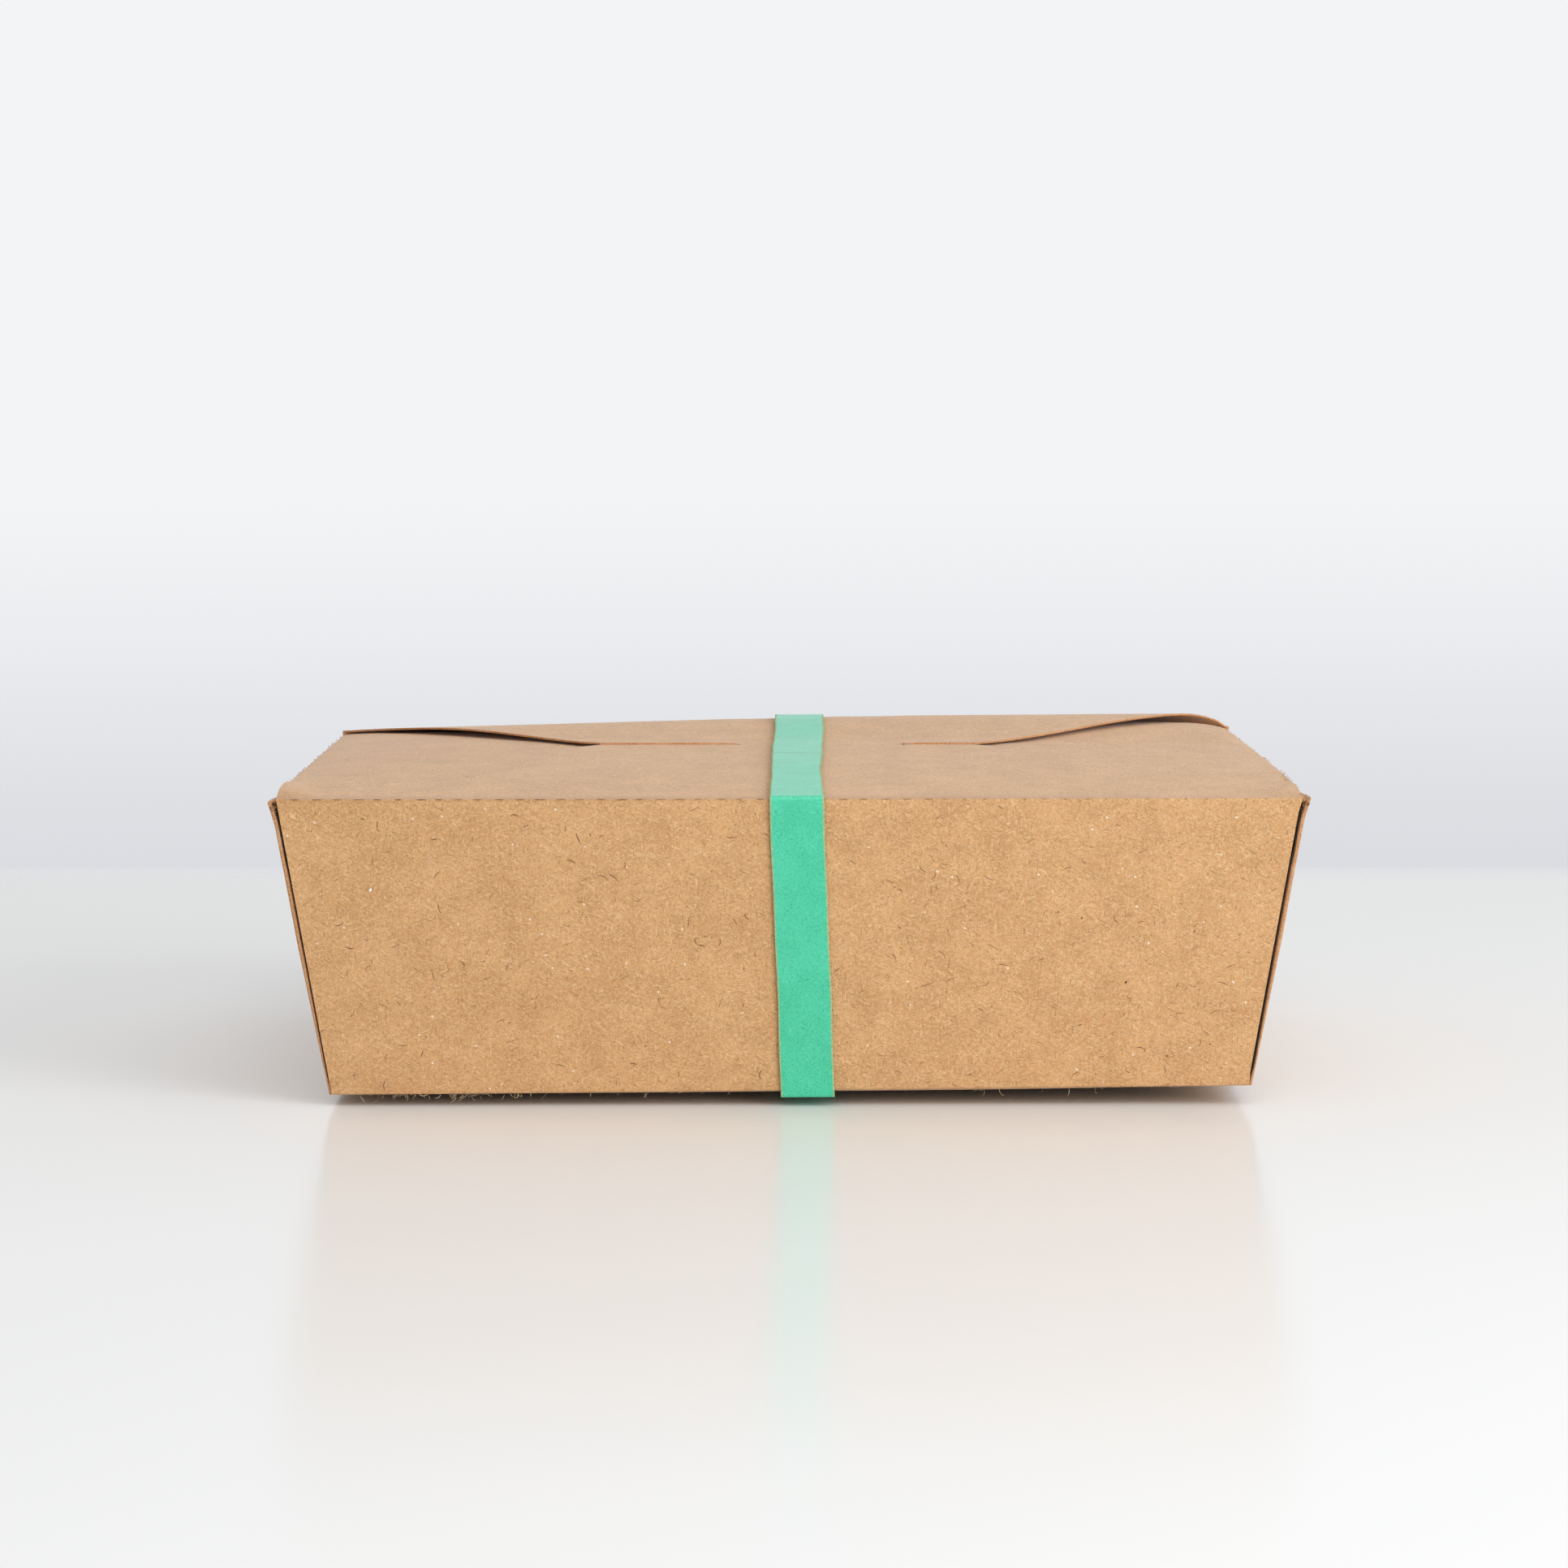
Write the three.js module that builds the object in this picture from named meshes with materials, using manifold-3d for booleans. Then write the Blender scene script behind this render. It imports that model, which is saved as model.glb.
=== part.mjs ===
// A shut noodle takeaway box of folded kraft board, held closed by a paper band.
// X runs along the box, Y from its front to its back, Z up from the table. Millimetres.
import * as THREE from 'three';
import { mergeVertices } from 'three/addons/utils/BufferGeometryUtils.js';
import Module from 'manifold-3d';

const wasm = await Module();
wasm.setup();

// Board and walls
const board = 0.45;            // thickness of the folding board
const baseLength = 197;        // bottom panel along X
const baseDepth = 140;         // bottom panel along Y
const mouthLength = 217;       // the same panels at the top folds
const mouthDepth = 160;
const edgeLift = 3.05;         // bottom edges above the table, as the bottom panel sags below them
const edgeTilt = 0.7;          // how much higher the right end's bottom edge is than the left end's
const sagFlatness = 1.3;       // over 1, the sagged bottom is flat in the middle

// Top folds and flaps
const frontFold = 67.05;       // height of the front fold at its middle
const frontTilt = -0.85;       // rise of the front fold from left to right
const backFold = 67.65;        // height of the back fold
const endFold = 67.8;          // height of the end folds at their middle
const endFall = 0.015;         // fall of the end folds for each mm towards the back
const endFrontDrop = 1.6;      // how far the end folds drop at the front corners
const endDropReach = 25;
const endSpring = { left: 2.3, right: 3.4 };      // rise of the end flaps under the back flap
const endSpringReach = { left: 14, right: 6 };    // how fast they rise inwards from their folds
const endSpringFrom = { left: -60, right: -35 };  // further forward the front flap keeps them down
const endSpringFull = { left: 20, right: 50 };
const backGap = 0.8;           // open gap between the back flap and the end flaps
const backGapRamp = { slit: 15, fold: 8 };        // it closes over these lengths at either end
const slitY = 8;               // where the back flap's shoulders end and its tongue is tucked in
const slitRise = 3.35;         // rise of the front flap from its fold to the slit
const slitHalf = 43;           // half the length of the shoulder line
const frontFlapTip = 20;       // the front flap goes on below the back flap to here
const frontFlapTipHalf = 30;
const frontSideEnd = -50;      // the front flap's sides are straight up to here, then slant
const frontSideBlend = 10;
const frontSideBow = 3.5;      // how far the slanted sides bow outwards
const frontCornerLift = 1.6;   // lift of the front flap's corners over the end folds
const frontCornerReach = { in: 10, back: 7 };     // how far it takes to rise from the side and the fold
const tongueMiddle = 5;        // the tongue that goes under the front flap
const tongueHalf = 21;
const tongueBlend = 6;
const tongueDip = 0.1;         // how far the tongue dips below the front flap's face
const flapRoot = 1.5;          // how far the fused flaps reach into the body
const middleDepth = 5;
const foldRound = 0.3;         // the folds' edges are eased by this much
const archHeight = 3.9;        // crown of the back flap above a straight line
const archPlace = { left: 0.42, right: 0.2 };     // where it is highest, as a share of the way to the slit
const archLeft = 0.3;          // share of the crown at the left corner
const archFullX = 12;          // from here to the right the crown is full
const archDropX = 104;         // and from here it falls to the right corner
const archDrop = 0.85;         // share of the crown lost there
const gapReach = 24;           // depth of the open gap below the back flap's slanted sides
const frontCells = 20;         // cells of each flap from its fold to its tip
const backCells = 16;
const crowding = { ends: 0.35, fold: 1.5 };       // how much closer the cell lines lie there

// End walls with the folded gussets behind their edges
const wallOffset = 1.35;       // outer face of an end wall beyond the edge of the front wall
const wallFootOffset = 0.6;    // the same at the bottom corner
const wallDraw = 1.2;          // the end folds are drawn in by this much between their corners
const wallSetback = 0.25;      // front edge of an end wall behind the front wall's face
const wallBuried = 0.6;        // overlap of the end walls with the body
const grooveWidth = 0.4;       // dark groove between the front wall and the folded edge
const grooveInset = { left: 0, right: 0.35 };     // how far it cuts back the front wall's edge
const grooveDepth = 3;
const grooveFoot = 0.06;       // share of the wall height below which the groove is closed
const grooveHead = 1.05;       // it runs out past the top
const grooveOut = 1;           // and past the face of the wall
const notchShare = 0.77;       // above this share of the height the folded edge is a thinner cut edge
const notchWidth = 0.75;
const notchBlend = 0.02;
const cornerFlare = 0.6;       // frayed top corners of the end walls stand out
const cornerReach = 9;
const flareFrom = 0.9;         // shares of the wall height where the flare and the draw begin
const drawFrom = 0.8;

// Paper band
const bandWidth = 11.4;
const bandThick = 0.3;
const bandGap = 0.35;          // clear of the board all round
const bandFloor = 1.5;         // underside of the band above the table
const bandFrontTopX = 1.5;     // middle of the band at the front fold
const bandFrontFootX = 3.75;   // and at the front bottom edge
const bandBackX = 3.2;         // and on the back wall
const bandBend = 0.8;          // inner radius where the band turns over the top folds
const bandFootBend = 0.6;      // and where it turns under the box
const bendSteps = 5;
const seamY = -15.7;           // edge of the glued overlap on top
const seamLength = 22;
const seamThick = 0.24;        // step of the overlap
const seamFade = 0.7;          // share of the overlap after which the step runs out
const seamSlope = 0.05;
const troughSide = 1;          // free width beside the band in the bottom panel's trough

const halfBaseX = baseLength / 2;
const halfBaseY = baseDepth / 2;
const halfMouthX = mouthLength / 2;
const halfMouthY = mouthDepth / 2;
const wallRise = frontFold - edgeLift;
const wallSlope = (halfMouthY - halfBaseY) / wallRise;

const { lerp, clamp, smoothstep } = THREE.MathUtils;

// Height functions of the panels

function bottomEdge(x) {
  return edgeLift + edgeTilt * x / baseLength;
}

function bottomPanel(x, y) {
  const along = 1 - (x / halfBaseX) ** 4;
  const across = 1 - (y / halfBaseY) ** 4;
  return Math.max(0, bottomEdge(x) * (1 - sagFlatness * along * across));
}

function frontFlapTop(x, y) {
  const fold = frontFold + frontTilt * x / mouthLength;
  const rise = slitRise * (y + halfMouthY) / (slitY + halfMouthY);
  const nearSide = smoothstep(Math.abs(x), halfMouthX - frontCornerReach.in, halfMouthX);
  const offFold = smoothstep(y, -halfMouthY, -halfMouthY + frontCornerReach.back);
  const beforeSlant = 1 - smoothstep(y, frontSideEnd - frontSideBlend, frontSideEnd + frontSideBlend);
  return fold + rise + frontCornerLift * nearSide * offFold * beforeSlant;
}

function crownShare(x) {
  const growing = lerp(archLeft, 1, clamp((x + halfMouthX) / (archFullX + halfMouthX), 0, 1));
  const falling = 1 - archDrop * smoothstep(x, archDropX, halfMouthX);
  return growing * falling;
}

// Springy rise of the back flap from its fold, then a long fall to the slit
function crown(x, along) {
  const place = lerp(archPlace.left, archPlace.right, clamp((x + halfMouthX) / mouthLength, 0, 1));
  const rise = Math.min(along / place, 1);
  const fall = Math.max(0, (along - place) / (1 - place));
  return rise * (2 - rise) * (1 + Math.cos(Math.PI * fall)) / 2;
}

function backFlapTop(x, y) {
  const along = clamp((halfMouthY - y) / (halfMouthY - slitY), 0, 1);
  const offTongue = Math.abs(x - tongueMiddle) - tongueHalf;
  const shoulder = smoothstep(offTongue, -tongueBlend, tongueBlend);
  const tip = frontFlapTop(x, slitY) + lerp(-tongueDip, board, shoulder);
  return lerp(backFold, tip, along) + archHeight * crownShare(x) * crown(x, along);
}

function endFoldTop(y) {
  const atFront = smoothstep(-y, halfMouthY - endDropReach, halfMouthY);
  return endFold - endFall * y - endFrontDrop * atFront;
}

function endFlapTop(x, y) {
  const side = x < 0 ? 'left' : 'right';
  const held = endSpringFrom[side];
  const free = clamp((y - held) / (endSpringFull[side] - held), 0, 1);
  const inwards = 1 - Math.exp((Math.abs(x) - halfMouthX) / endSpringReach[side]);
  return endFoldTop(y) + endSpring[side] * free * inwards;
}

// What lies below the front and back flaps: the end flaps, pressed down where a flap covers them
function innerTop(x, y) {
  const underFront = frontFlapTop(x, y) - board;
  const open = smoothstep(y, slitY, slitY + backGapRamp.slit)
    * smoothstep(halfMouthY - y, 0, backGapRamp.fold);
  const underBack = y > slitY ? backFlapTop(x, y) - board - backGap * open : underFront;
  return Math.min(endFlapTop(x, y), underFront, underBack);
}

// Half width of each flap at a distance from its fold

function frontFlapHalf(y) {
  if (y < frontSideEnd) {
    return halfMouthX;
  }
  if (y > slitY) {
    return lerp(slitHalf, frontFlapTipHalf, (y - slitY) / (frontFlapTip - slitY));
  }
  const along = (y - frontSideEnd) / (slitY - frontSideEnd);
  return lerp(halfMouthX, slitHalf, along) + frontSideBow * Math.sin(Math.PI * along);
}

function backFlapHalf(y) {
  return lerp(halfMouthX, slitHalf, (halfMouthY - y) / (halfMouthY - slitY));
}

// Cell lines of the flaps, closer together near the back fold, where the back flap bends most

function frontLine(share) {
  return lerp(-halfMouthY, frontFlapTip, share);
}

function backLine(share) {
  return lerp(halfMouthY, slitY, (1 - share) ** crowding.fold);
}

// Moves evenly spaced lines from -1 to 1 closer together near both ends
function closerAtEnds(t) {
  return t * (1 + crowding.ends * (1 - t * t));
}

// Closed solids

function toSolid(geometry) {
  geometry.deleteAttribute('normal');
  geometry.deleteAttribute('uv');
  const merged = mergeVertices(geometry, 1e-4);
  const vertProperties = new Float32Array(merged.attributes.position.array);
  const triVerts = new Uint32Array(merged.index.array);
  return new wasm.Manifold(new wasm.Mesh({ numProp: 3, vertProperties, triVerts }));
}

// A block of cells whose points go where place(u, v, w) puts them, u, v and w from 0 to 1
function block(cells, place) {
  const geometry = new THREE.BoxGeometry(1, 1, 1, ...cells);
  const points = geometry.attributes.position;
  for (let i = 0; i < points.count; i += 1) {
    const [x, y, z] = place(points.getX(i) + 0.5, points.getY(i) + 0.5, points.getZ(i) + 0.5);
    points.setXYZ(i, x, y, z);
  }
  return toSolid(geometry);
}

function toMesh(name, solid, material) {
  const { vertProperties, triVerts } = solid.getMesh();
  const geometry = new THREE.BufferGeometry();
  geometry.setAttribute('position', new THREE.BufferAttribute(vertProperties, 3));
  geometry.setIndex(new THREE.BufferAttribute(triVerts, 1));
  geometry.computeVertexNormals();
  const mesh = new THREE.Mesh(geometry, material);
  mesh.name = name;
  return mesh;
}

// Tapered body from the sagged bottom panel up to the end flaps
function makeBody() {
  return block([32, 24, 1], (u, v, w) => {
    const x = (u - 0.5) * lerp(baseLength, mouthLength, w);
    const y = (v - 0.5) * lerp(baseDepth, mouthDepth, w);
    return [x, y, w > 0.5 ? innerTop(x, y) : bottomPanel(x, y)];
  });
}

function makeFrontFlap() {
  return block([22, frontCells, 1], (u, v, w) => {
    const y = frontLine(v);
    const x = (2 * u - 1) * frontFlapHalf(y);
    const depth = (1 - w) * flapRoot;
    const inset = v === 0 ? lerp(foldRound, foldRound / 4 + depth * wallSlope, 1 - w) : 0;
    const top = frontFlapTop(x, y);
    const hidden = y > slitY ? Math.min(top, backFlapTop(x, y) - board / 2) : top;
    return [x, y + inset, hidden - depth];
  });
}

// A sheet that stands clear of the end flaps along its slanted sides
function makeBackFlap() {
  return block([28, backCells, 1], (u, v, w) => {
    const y = backLine(v);
    const x = closerAtEnds(2 * u - 1) * backFlapHalf(y);
    const depth = (1 - w) * (v === 1 ? flapRoot : board);
    const inset = v === 1 ? lerp(foldRound, foldRound / 4 + depth * wallSlope, 1 - w) : 0;
    return [x, y - inset, backFlapTop(x, y) - depth];
  });
}

// Joins the middle of the back flap to the body, out of sight
function makeMiddle() {
  const floor = frontFold - middleDepth;
  return block([12, backCells - 2, 1], (u, v, w) => {
    const y = backLine(lerp(1, backCells - 1, v) / backCells);
    const x = (2 * u - 1) * (backFlapHalf(y) - gapReach);
    return [x, y, w > 0.5 ? backFlapTop(x, y) - board / 2 : floor];
  });
}

function makeEndWall(side) {
  return block([1, 28, 14], (u, v, w) => {
    const outer = side > 0 ? u : 1 - u;
    const half = lerp(halfBaseY, halfMouthY, w) - wallSetback;
    const y = closerAtEnds(2 * v - 1) * half;
    const x = lerp(halfBaseX, halfMouthX, w);
    const corner = smoothstep(Math.abs(y), half - cornerReach, half);
    const flare = cornerFlare * corner * smoothstep(w, flareFrom, 1);
    const draw = wallDraw * (1 - corner) * smoothstep(w, drawFrom, 1);
    const offset = lerp(wallFootOffset, wallOffset, Math.min(2 * w, 1)) - draw + flare;
    const z = lerp(bottomEdge(side * x), endFoldTop(y), w);
    return [side * (x + lerp(-wallBuried, offset, outer)), y, z];
  });
}

// Cut that parts the front or back wall from the end wall's folded edge
function makeGroove(side, face) {
  return block([1, 1, 16], (u, v, w) => {
    const level = lerp(grooveFoot, grooveHead, w);
    const cut = smoothstep(level, notchShare - notchBlend, notchShare + notchBlend);
    const width = lerp(grooveWidth, notchWidth, cut);
    const outer = side > 0 ? u : 1 - u;
    const inward = face < 0 ? v : 1 - v;
    const inset = side > 0 ? grooveInset.right : grooveInset.left;
    const x = side * (lerp(halfBaseX, halfMouthX, level) - inset + outer * (width + inset / 2));
    const y = face * (lerp(halfBaseY, halfMouthY, level) + grooveOut - inward * (grooveDepth + grooveOut));
    return [x, y, lerp(edgeLift, frontFold, level)];
  });
}

// Trough that the tight band presses into the sagged bottom panel
function makeTrough() {
  const half = bandWidth / 2 + troughSide;
  const top = bandFloor + bandThick + bandGap;
  return block([1, 1, 1], (u, v, w) => {
    const middle = lerp(bandFrontFootX, bandBackX, v);
    return [middle + (2 * u - 1) * half, lerp(-halfMouthY, halfMouthY, v), lerp(-1, top, w)];
  });
}

function makeBox() {
  let solid = makeBody().add(makeFrontFlap()).add(makeMiddle()).add(makeBackFlap());
  for (const side of [-1, 1]) {
    solid = solid.add(makeEndWall(side));
  }
  for (const side of [-1, 1]) {
    for (const face of [-1, 1]) {
      solid = solid.subtract(makeGroove(side, face));
    }
  }
  return solid.subtract(makeTrough());
}

// Highest board below the band at a place on top
function boardUnderBand(y) {
  const x = lerp(bandFrontTopX, bandBackX, (y + halfMouthY) / mouthDepth);
  const edges = [x - bandWidth / 2, x, x + bandWidth / 2];
  return Math.max(...edges.map((edge) => (y < slitY ? frontFlapTop(edge, y) : backFlapTop(edge, y))));
}

// Places across the top, from the back fold to the front fold, where the flaps have their cell lines
function topPlaces() {
  const places = [];
  for (let i = backCells - 1; i >= 0; i -= 1) {
    places.push(backLine(i / backCells));
  }
  for (let i = frontCells - 1; i > 0; i -= 1) {
    const y = frontLine(i / frontCells);
    if (y < slitY - 1) {
      places.push(y);
    }
  }
  return places;
}

// Round turn of the band about a fold between two faces, given the directions that the faces look in
function bandTurn(foldY, foldZ, from, to, radius, offset) {
  const inside = (radius - bandGap) / Math.cos((to - from) / 2);
  const middle = (from + to) / 2;
  const y = foldY - inside * Math.cos(middle);
  const z = foldZ - inside * Math.sin(middle);
  return Array.from({ length: bendSteps + 1 }, (_, i) => {
    const angle = lerp(from, to, i / bendSteps);
    const out = radius + offset;
    return new THREE.Vector2(y + out * Math.cos(angle), z + out * Math.sin(angle));
  });
}

// Outline of the band seen along X, at an offset outwards from its inner face
function bandOutline(offset, overlap) {
  const lean = Math.atan(wallSlope);
  const frontRise = Math.atan(slitRise / (slitY + halfMouthY));
  const backY = backLine((backCells - 1) / backCells);
  const backRise = Math.atan2(boardUnderBand(backY) - backFold, halfMouthY - backY);
  const up = Math.PI / 2;
  const down = 3 * up;
  const footZ = bandFloor + bandThick + bandGap;
  const footY = halfBaseY - wallSlope * (edgeLift - footZ);
  const foldZ = boardUnderBand(-halfMouthY);
  const points = [
    ...bandTurn(-halfMouthY, foldZ, up + frontRise, Math.PI + lean, bandBend, offset),
    ...bandTurn(-footY, footZ, Math.PI + lean, down, bandFootBend, offset),
    ...bandTurn(footY, footZ, down, 2 * Math.PI - lean, bandFootBend, offset),
    ...bandTurn(halfMouthY, backFold, 2 * Math.PI - lean, 2 * Math.PI + up - backRise, bandBend, offset),
  ];
  const places = topPlaces().filter((y) => Math.abs(y) < halfMouthY - bandBend);
  if (overlap > 0) {
    places.push(seamY + seamSlope, seamY);
    places.sort((a, b) => b - a);
  }
  for (const y of places) {
    const lap = 1 - smoothstep(seamY - y, seamFade * seamLength, seamLength);
    const lift = y > seamY ? 0 : overlap * lap;
    points.push(new THREE.Vector2(y, boardUnderBand(y) + bandGap + offset + lift));
  }
  return points;
}

function makeBand() {
  const ring = new THREE.Shape(bandOutline(bandThick, seamThick));
  ring.holes.push(new THREE.Path(bandOutline(0, 0)));
  const geometry = new THREE.ExtrudeGeometry(ring, { depth: bandWidth, bevelEnabled: false });
  const points = geometry.attributes.position;
  for (let i = 0; i < points.count; i += 1) {
    const y = points.getX(i);
    const z = points.getY(i);
    const front = lerp(bandFrontFootX, bandFrontTopX, clamp(z / frontFold, 0, 1));
    const middle = lerp(front, bandBackX, smoothstep(y, -halfMouthY, halfMouthY));
    points.setXYZ(i, middle - bandWidth / 2 + points.getZ(i), y, z);
  }
  return toSolid(geometry);
}

const kraft = new THREE.MeshStandardMaterial({ color: 0xcf9f6f, roughness: 0.9, metalness: 0 });
const print = new THREE.MeshStandardMaterial({ color: 0x55cca4, roughness: 0.7, metalness: 0 });

const noodleBox = new THREE.Group();
noodleBox.add(toMesh('box', makeBox(), kraft));
noodleBox.add(toMesh('band', makeBand(), print));

export default noodleBox;
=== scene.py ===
# A shut noodle takeaway box of folded kraft board with a paper band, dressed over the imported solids.
import math
import random

import bpy
import numpy as np
from mathutils import Matrix, Vector


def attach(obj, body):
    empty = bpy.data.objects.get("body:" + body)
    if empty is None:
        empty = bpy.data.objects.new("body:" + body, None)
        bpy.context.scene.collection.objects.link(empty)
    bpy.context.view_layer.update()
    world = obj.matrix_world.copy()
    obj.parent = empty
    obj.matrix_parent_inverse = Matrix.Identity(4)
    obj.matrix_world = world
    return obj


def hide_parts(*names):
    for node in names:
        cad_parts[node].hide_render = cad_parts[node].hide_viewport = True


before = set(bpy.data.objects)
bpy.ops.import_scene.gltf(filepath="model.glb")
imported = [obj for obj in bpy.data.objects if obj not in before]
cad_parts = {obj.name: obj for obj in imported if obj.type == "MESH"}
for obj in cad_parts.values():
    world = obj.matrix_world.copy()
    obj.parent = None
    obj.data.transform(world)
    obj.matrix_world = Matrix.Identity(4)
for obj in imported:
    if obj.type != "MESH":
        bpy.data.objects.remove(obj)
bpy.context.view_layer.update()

# Sizes are millimetres, as in the part's own source, and meshes are scaled to metres when they are made
MM = 0.001

# Board and walls
BOARD = 0.45
HALF_BASE_X = 98.5
HALF_BASE_Y = 70.0
HALF_MOUTH_X = 108.5
HALF_MOUTH_Y = 80.0
EDGE_LIFT = 3.05
EDGE_TILT = 1.0
SAG_FLATNESS = 1.3
FOLD_REACH = 0.5           # a fold is rounded from this far on either side of its line
FOLD_STEPS = 6
SHARP_ANGLE = math.radians(38)
PRESS_CLEAR = 0.1          # the band presses the bottom panel up this far above itself
PRESS_BLEND = (0.2, 4.0)   # and less and less between these distances beside itself

# Top folds and flaps
FRONT_FOLD = 67.05
FRONT_TILT = -0.85
BACK_FOLD = 67.65
END_FOLD = 67.8
END_FALL = 0.015
END_FRONT_DROP = 1.6
END_DROP_REACH = 25.0
END_SPRING = {-1: 2.3, 1: 3.4}
END_SPRING_REACH = {-1: 14.0, 1: 6.0}
END_SPRING_FROM = {-1: -60.0, 1: -35.0}
END_SPRING_FULL = {-1: 20.0, 1: 50.0}
END_FLAP_LENGTH = 76.0
END_FLAP_TAPER = 0.35
BACK_GAP = (0.8, 1.7)      # open gap below the back flap, and near its right corner
BACK_GAP_WIDENS = (50.0, 100.0)
BACK_GAP_RAMP = 15.0
BACK_GAP_OPENS = {-1: (4.0, 14.0), 1: (0.0, 6.0)}    # distances from the back fold
SLIT_Y = 8.0
SLIT_RISE = 3.35
SLIT_HALF = 43.0
FRONT_FLAP_TIP = 20.0
FRONT_FLAP_TIP_HALF = 30.0
FRONT_SIDE_END = -60.0
FRONT_SIDE_BLEND = 10.0
FRONT_SIDE_BOW = 3.5
FRONT_FLAP_SWELL = 0.7     # the front flap is slightly crowned between its fold and the slit
FRONT_CORNER_LIFT = (1.0, 0.6)    # at the left and the right corner
FRONT_CORNER_REACH = (10.0, 7.0)
TONGUE_MIDDLE = 8.0
TONGUE_HALF = 18.0
TONGUE_BLEND = 6.0
TONGUE_LENGTH = 9.0
TONGUE_DIP = 0.1
TONGUE_SIDE = 1.0          # its sides are cut off within this distance
TONGUE_POWER = 6           # how fast the back flap's rows draw forward to its tip
TUCK = (-0.6, 1.2)         # distances past the slit between which it goes under the front flap
TIP_DIP = 0.4              # distance behind the slit within which the front flap goes under
TIP_ROWS = (0.1, 0.2, 0.3, 0.4, 2.0, 5.0, 8.0)    # more rows of it, this far behind the slit
ARCH_HEIGHT = 3.9
ARCH_PLACE = (0.42, 0.2)
ARCH_LEFT = 0.3
ARCH_FULL_X = 12.0
ARCH_DROP_X = 105.5
ARCH_DROP = 0.85

# End walls, doubled by the gussets that are folded behind their edges
WALL_OFFSET = 1.35
WALL_FOOT_OFFSET = 0.6
WALL_DRAW = 1.2
WALL_SETBACK = 0.25
WALL_THICK = {-1: 0.92, 1: 1.2}
WALL_CUT_THICK = 0.76      # above the notch only two cut layers are left
GROOVE = 0.38
GROOVE_OPENS = (0.02, 0.07)    # shares of the wall height between which it opens
RIGHT_INSET = 0.35         # the front wall's right edge is cut back by this much
RIGHT_INSET_ENDS = (0.05, 0.97)
NOTCH_SHARE = 0.77
NOTCH_BLEND = 0.008
NOTCH_STEP = 0.015         # share of the height between the rows on either side of the notch
WALL_HEAD = 0.985          # the top fold starts here
END_BULGE = 0.35           # how round the cut edges of the end walls and flaps are
CORNER_FLARE = 0.6
CORNER_REACH = 9.0
FLARE_FROM = 0.9
DRAW_FROM = 0.8

# Paper band
BAND_WIDTH = 11.4
BAND_WAIST = 0.7           # it is narrower by this much between the front fold and the seam
BAND_THICK = 0.2
BAND_CLEAR = 0.45          # inner face clear of the board
BAND_FLOOR = 1.5
BAND_FRONT_TOP_X = 1.5
BAND_FRONT_FOOT_X = 3.75
BAND_BACK_X = 3.2
BAND_BEND = 0.8
BAND_FOOT_BEND = 0.6
BAND_STEP = 1.5
BAND_TURN_STEPS = 9
BAND_BACK_SLOPE = 3.0      # the slope next to the back fold is measured over this distance
BAND_TOP_ENDS = (2.0, 2.5)    # the bends reach this far in from the front and the back fold
BAND_COLUMNS = 17
BAND_BULGE = 0.8
BAND_TOP = (-2.0, 0.5)     # heights about the front fold between which the waist begins
WAIST_Y = -45.0
WAIST_REACH = 22.0
BAND_WAVES = ((0.07, 9.0, 0.0), (0.05, 3.7, 1.0))    # size, length and shift of its uneven course
SEAM_Y = -15.7
SEAM_LENGTH = 22.0
SEAM_SINK = 0.12           # the hidden end lies this much lower
SEAM_SINK_REACH = 1.5
SEAM_LIFT = 0.14           # and the end on top this much higher
SEAM_LIFT_REACH = 9.0

# The photo's camera
LENS = 109.3
SENSOR = 36.0
CAMERA_TARGET = (-0.865, 0.0, 62.107)
CAMERA_DISTANCE = 1086.19
CAMERA_PITCH = math.radians(5.793)
CAMERA_AZIMUTH = math.radians(-0.215)
CAMERA_ROLL = math.radians(-0.266)


def lerp(a, b, t):
    return a + (b - a) * t


def ease(value, low, high):
    t = np.clip((value - low) / (high - low), 0.0, 1.0)
    return t * t * (3.0 - 2.0 * t)


def unit(vectors):
    return vectors / np.maximum(np.linalg.norm(vectors, axis=-1, keepdims=True), 1e-9)


# Height functions of the panels, like those of the solids


def bottom_edge(x):
    return EDGE_LIFT + EDGE_TILT * x / (2 * HALF_BASE_X)


def band_middle(y, z):
    front = lerp(BAND_FRONT_FOOT_X, BAND_FRONT_TOP_X, np.clip(z / FRONT_FOLD, 0.0, 1.0))
    return lerp(front, BAND_BACK_X, ease(y, -HALF_MOUTH_Y, HALF_MOUTH_Y))


def bottom_panel(x, y):
    sag = SAG_FLATNESS * (1 - (x / HALF_BASE_X) ** 4) * (1 - (y / HALF_BASE_Y) ** 4)
    free = np.maximum(0.0, bottom_edge(x) * (1 - sag))
    off_band = np.abs(x - band_middle(y, 0.0)) - BAND_WIDTH / 2
    pressed = (BAND_FLOOR + BAND_THICK + PRESS_CLEAR) * (1 - ease(off_band, *PRESS_BLEND))
    return np.maximum(free, pressed)


def front_flap_top(x, y):
    fold = FRONT_FOLD + FRONT_TILT * x / (2 * HALF_MOUTH_X)
    rise = SLIT_RISE * (y + HALF_MOUTH_Y) / (SLIT_Y + HALF_MOUTH_Y)
    near_side = ease(np.abs(x), HALF_MOUTH_X - FRONT_CORNER_REACH[0], HALF_MOUTH_X)
    off_fold = ease(y, -HALF_MOUTH_Y, -HALF_MOUTH_Y + FRONT_CORNER_REACH[1])
    before_slant = 1 - ease(y, FRONT_SIDE_END - FRONT_SIDE_BLEND, FRONT_SIDE_END + FRONT_SIDE_BLEND)
    swell = FRONT_FLAP_SWELL * np.sin(np.pi * np.clip(rise / SLIT_RISE, 0.0, 1.0))
    lift = lerp(*FRONT_CORNER_LIFT, x > 0)
    return fold + rise + swell + lift * near_side * off_fold * before_slant


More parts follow.
